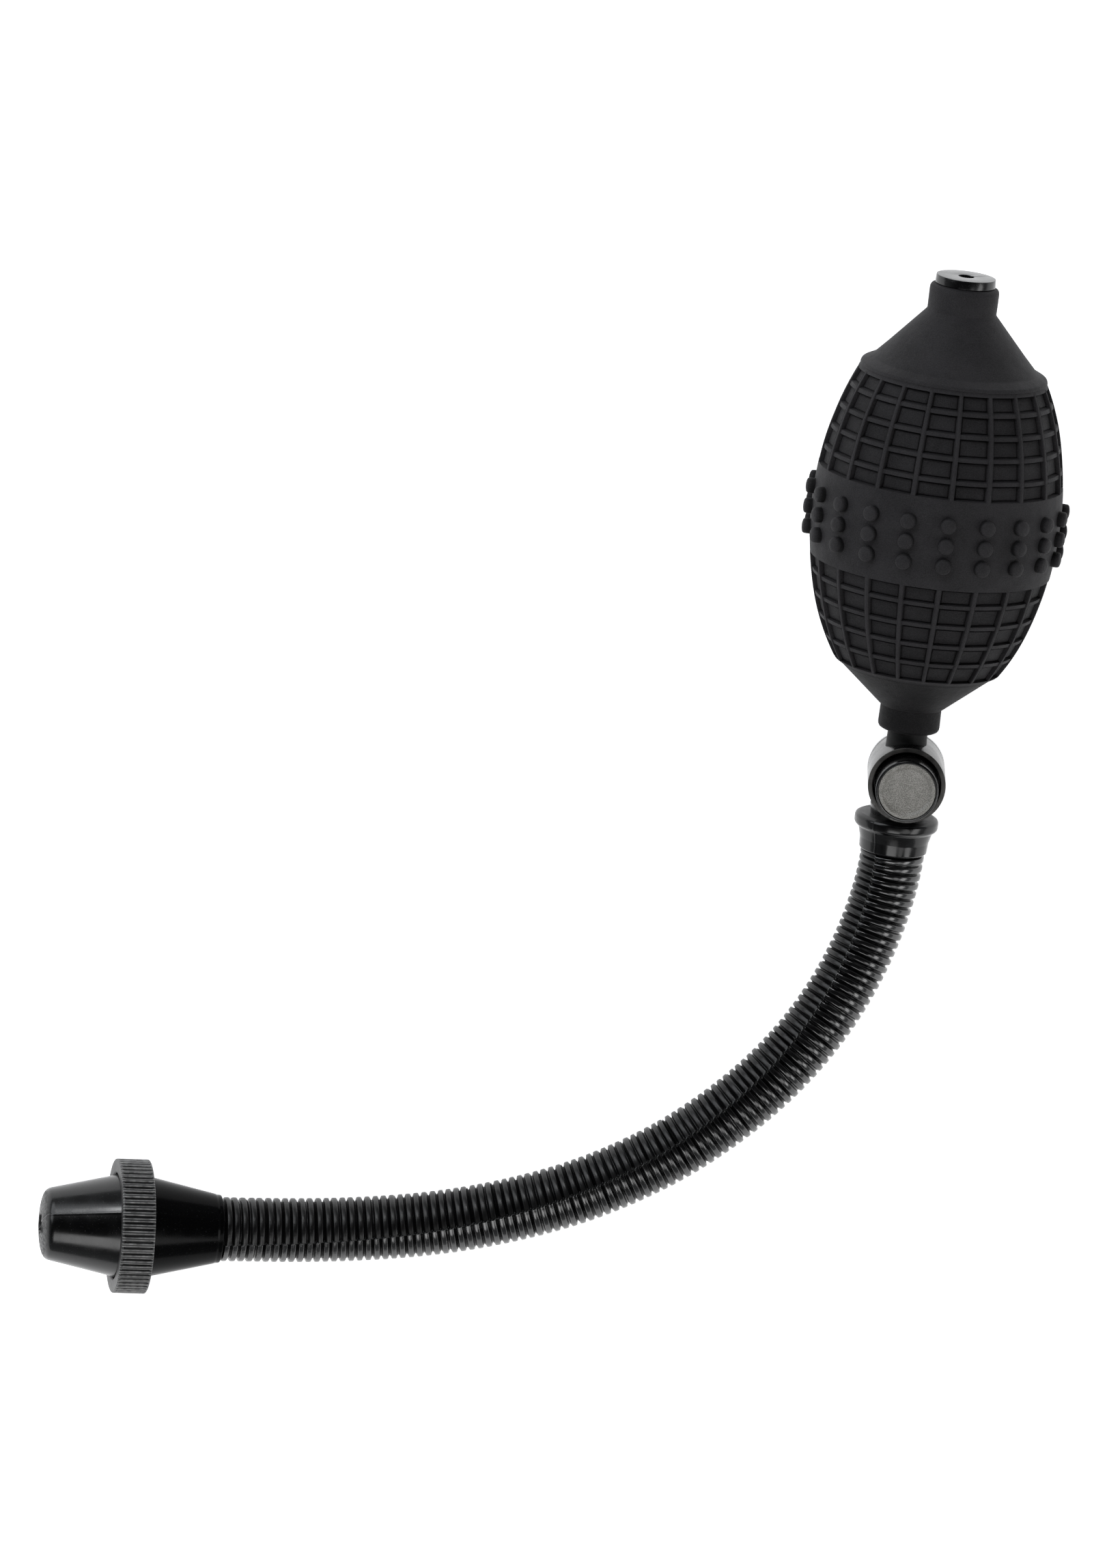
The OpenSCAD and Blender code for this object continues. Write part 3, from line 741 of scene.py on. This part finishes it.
def make_bulb_half(name, side):
    """One side of the bulb, 1 or -1, closed at the plane between the two, with its grip dots."""
    outline, on_skin = bulb_outline()
    angles = column_angles(side)
    bars = np.random.default_rng(11).normal(0, 0.09, (len(RINGS), COLUMNS))
    skin = np.broadcast_to(on_skin[:, None], (len(outline), len(angles)))
    w = outline[:, 1:] + 0 * angles
    a = angles + 0 * w
    # The skin's tone carries painted shade in the cells and creases.
    depth, skin_tone_with_painted_shade = relief(w, a)
    w = np.where(skin, shifted_bars(w, a, bars), w)
    wobble = 0.06 * np.sin(3 * a + 0.21 * w) * np.sin(0.13 * w + 2 * a) * (np.abs(w) < 40)
    r = np.where(skin, wall(np.clip(w, *SKIN_ENDS)) - depth + wobble, outline[:, :1])
    points = np.stack([r * np.sin(a), -r * np.cos(a), w], -1).reshape(-1, 3)
    rows, columns = a.shape
    faces = grid_faces(rows, columns, wrap_rows=True)
    faces += [[i * columns for i in range(rows)], [i * columns + columns - 1 for i in range(rows)]]
    # Painted shade: below the middle, off the ribbed skin, the lower cone and neck get a darker tone
    # than the upper ones.
    neck_tone_with_painted_shade = np.where(w < 0, -0.8, 0.6)
    tone = [np.where(skin, skin_tone_with_painted_shade, neck_tone_with_painted_shade).ravel()]
    points = [points]
    total = rows * columns
    for k in range(COLUMNS):
        angle = (PHASE + k * TAU / COLUMNS + math.pi) % TAU - math.pi
        if np.sign(angle) != side:
            continue
        for row in (-1, 0, 1):
            # Each dot's tone carries painted shade at its foot.
            dot, dot_faces, dot_tone_with_painted_shade = dot_mesh(angle, sum(BAND) / 2 + DOT_SPACING * row)
            faces += [[i + total for i in face] for face in dot_faces]
            points.append(dot)
            tone.append(dot_tone_with_painted_shade)
            total += len(dot)
    return mesh_object(name, np.concatenate(points), faces, BULB, MATERIALS["bulb_rubber"],
                       {"relief": np.concatenate(tone)})


def make_bulb():
    """Both halves stand for the squeezing pads at the sides and the frame near the middle plane, whose
    CAD nodes are hidden.
    """
    for name, side, nodes in (
        ("right", 1, ["bulb_grip_right"]),
        ("left", -1, ["bulb_grip_left", "bulb"]),
    ):
        half = make_bulb_half("bulb_half_" + name, side)
        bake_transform(half)
        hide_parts(*nodes)


make_bulb()

# Intake plug -------------------------------------------------------------------------------------


def make_intake_plug():
    """The flanged plug on the upper neck, with a nib of flash in its air hole."""
    top = NECK_UP[1]

    def nib(a, r, z):
        return -0.75 * np.exp(-((a - 0.7) / 0.16) ** 2) * (r < 1.9) * (z > top)

    plug = lathe("intake_plug_moulded", [
        (1.75, 50.6), (1.75, top + 1.98, 0.12), (6.62, top + 2, 0.14), (6.72, top + 0.12, 0.12),
        (4.75, top + 0.05), (4.75, 42.0), (5.4, 41.4, 0.3), (5.4, 40.8, 0.3), (4.6, 39.8),
        (3.2, 39.8), (3.2, 50.6)],
        BULB, MATERIALS["gloss_black"], 128, closed=True, ripple=nib)
    return shown(plug, "root", "gloss_black", "intake_plug")


make_intake_plug()

# Valve -------------------------------------------------------------------------------------------

BARREL_R = 8.7
BARREL_FRONT = 8.2
RIM_R = 7.65
BUTTON_R = 7.0
BUTTON_FACE = 13.7


def make_barrel():
    """The barrel with its worn rim."""
    def rim(a, r, z):
        return smooth(z, BARREL_FRONT - 0.25, BARREL_FRONT - 0.1) * (r > RIM_R - 0.05)

    def rim_wear(a, r, z):
        patches = 0.6 + 0.25 * np.sin(2 * a + 2.2) + 0.15 * np.sin(7 * a) + 0.12 * np.sin(17 * a + 1)
        return rim(a, r, z) * patches

    barrel = lathe("valve_barrel", [
        (1.35, 1.6), (1.35, 3), (RIM_R, 3, 0.3), (RIM_R, BARREL_FRONT, 0.16), (8.2, BARREL_FRONT),
        (BARREL_R, BARREL_FRONT - 0.05, 0.22), (BARREL_R, 0), (BARREL_R, -7, 0.25), (6.6, -7),
        (6.6, -4.4), (6.2, -4.4), (6.2, 1.6)],
        VALVE, MATERIALS["gloss_black"], 192, closed=True, attributes={"worn": rim, "pale": rim_wear})
    shown(barrel, "root", "gloss_black", "valve_body")


def make_spigots():
    """The spigots that hold the neck and the cuff. The upper one's end follows the barrel's wall."""
    def saddle(a, r, z):
        reach = np.sqrt((BARREL_R - 0.4) ** 2 - (r * np.cos(a) - VALVE_SHIFT) ** 2)
        return np.where((z < -54) & (z > -60), VALVE_W + reach - z, 0)

    for name, finish, corners in (
        ("valve_spigot_up", "satin_black", [
            (1.6, -54.6), (4.6, -54.6), (4.5, -52.4, 0.8), (4.33, -42.8), (4.9, -42.8),
            (4.9, -42.2, 0.2), (4.0, -41), (3.0, -41), (3.0, -50), (1.6, -50)]),
        ("valve_spigot_down", "gloss_black", [
            (3.4, -68), (6.3, -68), (6.1, -69.6, 0.6), (5.75, -73.4), (6.1, -74.6), (5.75, -74.6),
            (5.75, -76), (5.3, -77), (3.4, -77)]),
    ):
        spigot = lathe(name, corners, BULB, MATERIALS[finish], 96, closed=True, lift=saddle)
        shown(spigot, "root", "gloss_black")


def make_button():
    """A hollow black button with a dished, satin grey face let into its top."""
    top = BUTTON_FACE
    body = lathe("release_button_body", [
        (5.8, 5.7), (BUTTON_R, 5.7, 0.15), (BUTTON_R, top - 0.05, 0.45), (6.42, top, 0.12),
        (6.36, top - 0.9), (0, top - 0.9), (0, top - 1.5), (5.8, top - 1.5)],
        VALVE, MATERIALS["gloss_black"], 128)
    shown(body, "release_button", "gloss_black", "release_button")
    face = lathe("release_button_face", [
        (0, top - 0.88), (6.34, top - 0.88), (6.34, top - 0.04, 0.12), (5.6, top - 0.02, 0.2),
        (5.0, top - 0.5, 0.5), (2.5, top - 0.62), (0, top - 0.65)],
        VALVE, MATERIALS["button_grey"], 128)
    shown(face, "release_button", "button_grey")


def make_spring():
    """The coil under the button, made at one length; the real one closes up as the button goes in."""
    coil_r, wire_r, turns, low, high = 4.3, 0.35, 5, 3.4, 11.8
    per_turn, sides = 28, 10
    count = turns * per_turn + 1
    turn = np.linspace(0, turns * TAU, count)[:, None]
    section = np.arange(sides) * TAU / sides
    r = coil_r + wire_r * np.cos(section)
    z = low + (high - low) * turn / turn[-1] + wire_r * np.sin(section)
    points = np.stack([r * np.cos(turn), r * np.sin(turn), z], -1).reshape(-1, 3)
    spring = mesh_object("release_spring_coil", points, tube_faces(count, sides), VALVE,
                         MATERIALS["spring_steel"])
    shown(spring, "root", "spring_steel", "release_spring")
    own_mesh(spring)


make_barrel()
make_spigots()
make_button()
make_spring()

# Hose cuff ---------------------------------------------------------------------------------------


def make_cuff():
    """The rubber cuff: a rolled bead with a dull top, and a glossy, hollow-sided sleeve."""
    def dull(a, r, z):
        return 1.3 * smooth(z, -70.8, -70.2)

    seam = seam_line(math.radians(-123), 0.16, 0.07)
    cuff = lathe("hose_cuff_moulded", [
        (5.85, -70.1), (8.3, -70.1, 0.3), (9.45, -70.6, 0.9), (9.45, -72.6, 1.1), (8.4, -73.4, 0.3),
        (8.15, -74.3, 0.5), (7.75, -75.8, 1.0), (7.62, -78.1, 0.25), (7.2, -78.5), (5.3, -78.5),
        (5.3, -77.1), (5.85, -77.1)],
        BULB, MATERIALS["hose_rubber"], 240, closed=True, ripple=seam, attributes={"dull": dull})
    return shown(cuff, "root", "hose_rubber", "hose_cuff")


make_cuff()

# CAD nodes that stay -----------------------------------------------------------------------------

KEPT = {
    "intake_disc": "flap_rubber", "intake_retainer": "inner_white",
    "check_valve_seat": "inner_white", "check_valve_disc": "flap_rubber",
    "check_valve_retainer": "inner_white", "release_stem": "stem_brass",
    "release_seal": "seal_rubber", "rear_cap": "gloss_black", "rear_cap_seal": "seal_rubber",
    "nozzle_gasket": "seal_rubber",
}


def paint_kept_nodes():
    """Gives the inner parts that the CAD model shows well enough their materials."""
    for node, slot in KEPT.items():
        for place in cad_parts[node].material_slots:
            place.material = MATERIALS[slot]


paint_kept_nodes()

# Stage -------------------------------------------------------------------------------------------


def make_floor():
    """A plain floor, lit a little from within to be as white as the photograph's."""
    mesh = bpy.data.meshes.new("floor")
    half = 3.0
    corners = [(-half, -half, 0), (half, -half, 0), (half, half, 0), (-half, half, 0)]
    mesh.from_pydata(corners, [], [(0, 1, 2, 3)])
    floor = bpy.data.objects.new("floor", mesh)
    n = Nodes("floor_white", Roughness=0.85, Emission_Color=(1, 1, 1, 1), Emission_Strength=0.73)
    n.base(n.colour(n.noise(0.02, 2), (0.86, 0.86, 0.86), (0.9, 0.9, 0.9)))
    mesh.materials.append(n.material)
    bpy.context.collection.objects.link(floor)


MIDDLE = Vector((-60, -60, 20)) * MM


def area_light(name, place, size, power, colour=(1, 1, 1)):
    """A soft box that faces the object's middle."""
    data = bpy.data.lights.new(name, "AREA")
    data.shape = "RECTANGLE"
    data.size, data.size_y = size
    data.energy = power
    data.color = colour
    light = bpy.data.objects.new(name, data)
    light.location = place
    light.rotation_euler = (place - MIDDLE).to_track_quat("Z", "Y").to_euler()
    bpy.context.collection.objects.link(light)


def toward(azimuth, tilt, distance=1.4):
    """A place at an angle in the picture, counted from its right, and a tilt from straight up."""
    a, t = math.radians(azimuth) + CAMERA_TURN, math.radians(tilt)
    flat = math.sin(t)
    return MIDDLE + distance * Vector((math.cos(a) * flat, math.sin(a) * flat, math.cos(t)))


def make_world():
    """A dark ceiling over pale walls, so that what faces up stays black and what faces out doesn't."""
    world = bpy.data.worlds.new("studio")
    world.use_nodes = True
    tree = world.node_tree
    direction = tree.nodes.new("ShaderNodeTexCoord")
    split = tree.nodes.new("ShaderNodeSeparateXYZ")
    ramp = tree.nodes.new("ShaderNodeMapRange")
    ramp.interpolation_type = "SMOOTHSTEP"
    ceiling, walls = (0.8, 0.02), (0.1, 0.34)
    ramp.inputs["From Min"].default_value, ramp.inputs["To Min"].default_value = ceiling
    ramp.inputs["From Max"].default_value, ramp.inputs["To Max"].default_value = walls
    background = tree.nodes["Background"]
    background.inputs["Color"].default_value = (0.94, 0.97, 1.0, 1)
    tree.links.new(direction.outputs["Generated"], split.inputs[0])
    tree.links.new(split.outputs["Z"], ramp.inputs["Value"])
    tree.links.new(ramp.outputs["Result"], background.inputs["Strength"])
    bpy.context.scene.world = world
    bpy.context.scene.view_settings.view_transform = "Standard"


def make_light():
    """Three soft boxes in an arc below and on the right, a strip above and a cool fill on the left."""
    area_light("key", toward(-100, 43), (0.75, 0.6), 5.6)
    area_light("arc", toward(-52, 42), (0.55, 0.45), 1.7)
    area_light("side", toward(-28, 62), (0.85, 0.42), 4.5)
    area_light("strip", toward(98, 38), (0.36, 0.2), 3.4, colour=(0.97, 0.98, 1.0))
    area_light("fill", toward(138, 54, distance=1.5), (1.5, 1.0), 12.0, colour=(0.93, 0.96, 1.0))


make_floor()
make_world()
make_light()
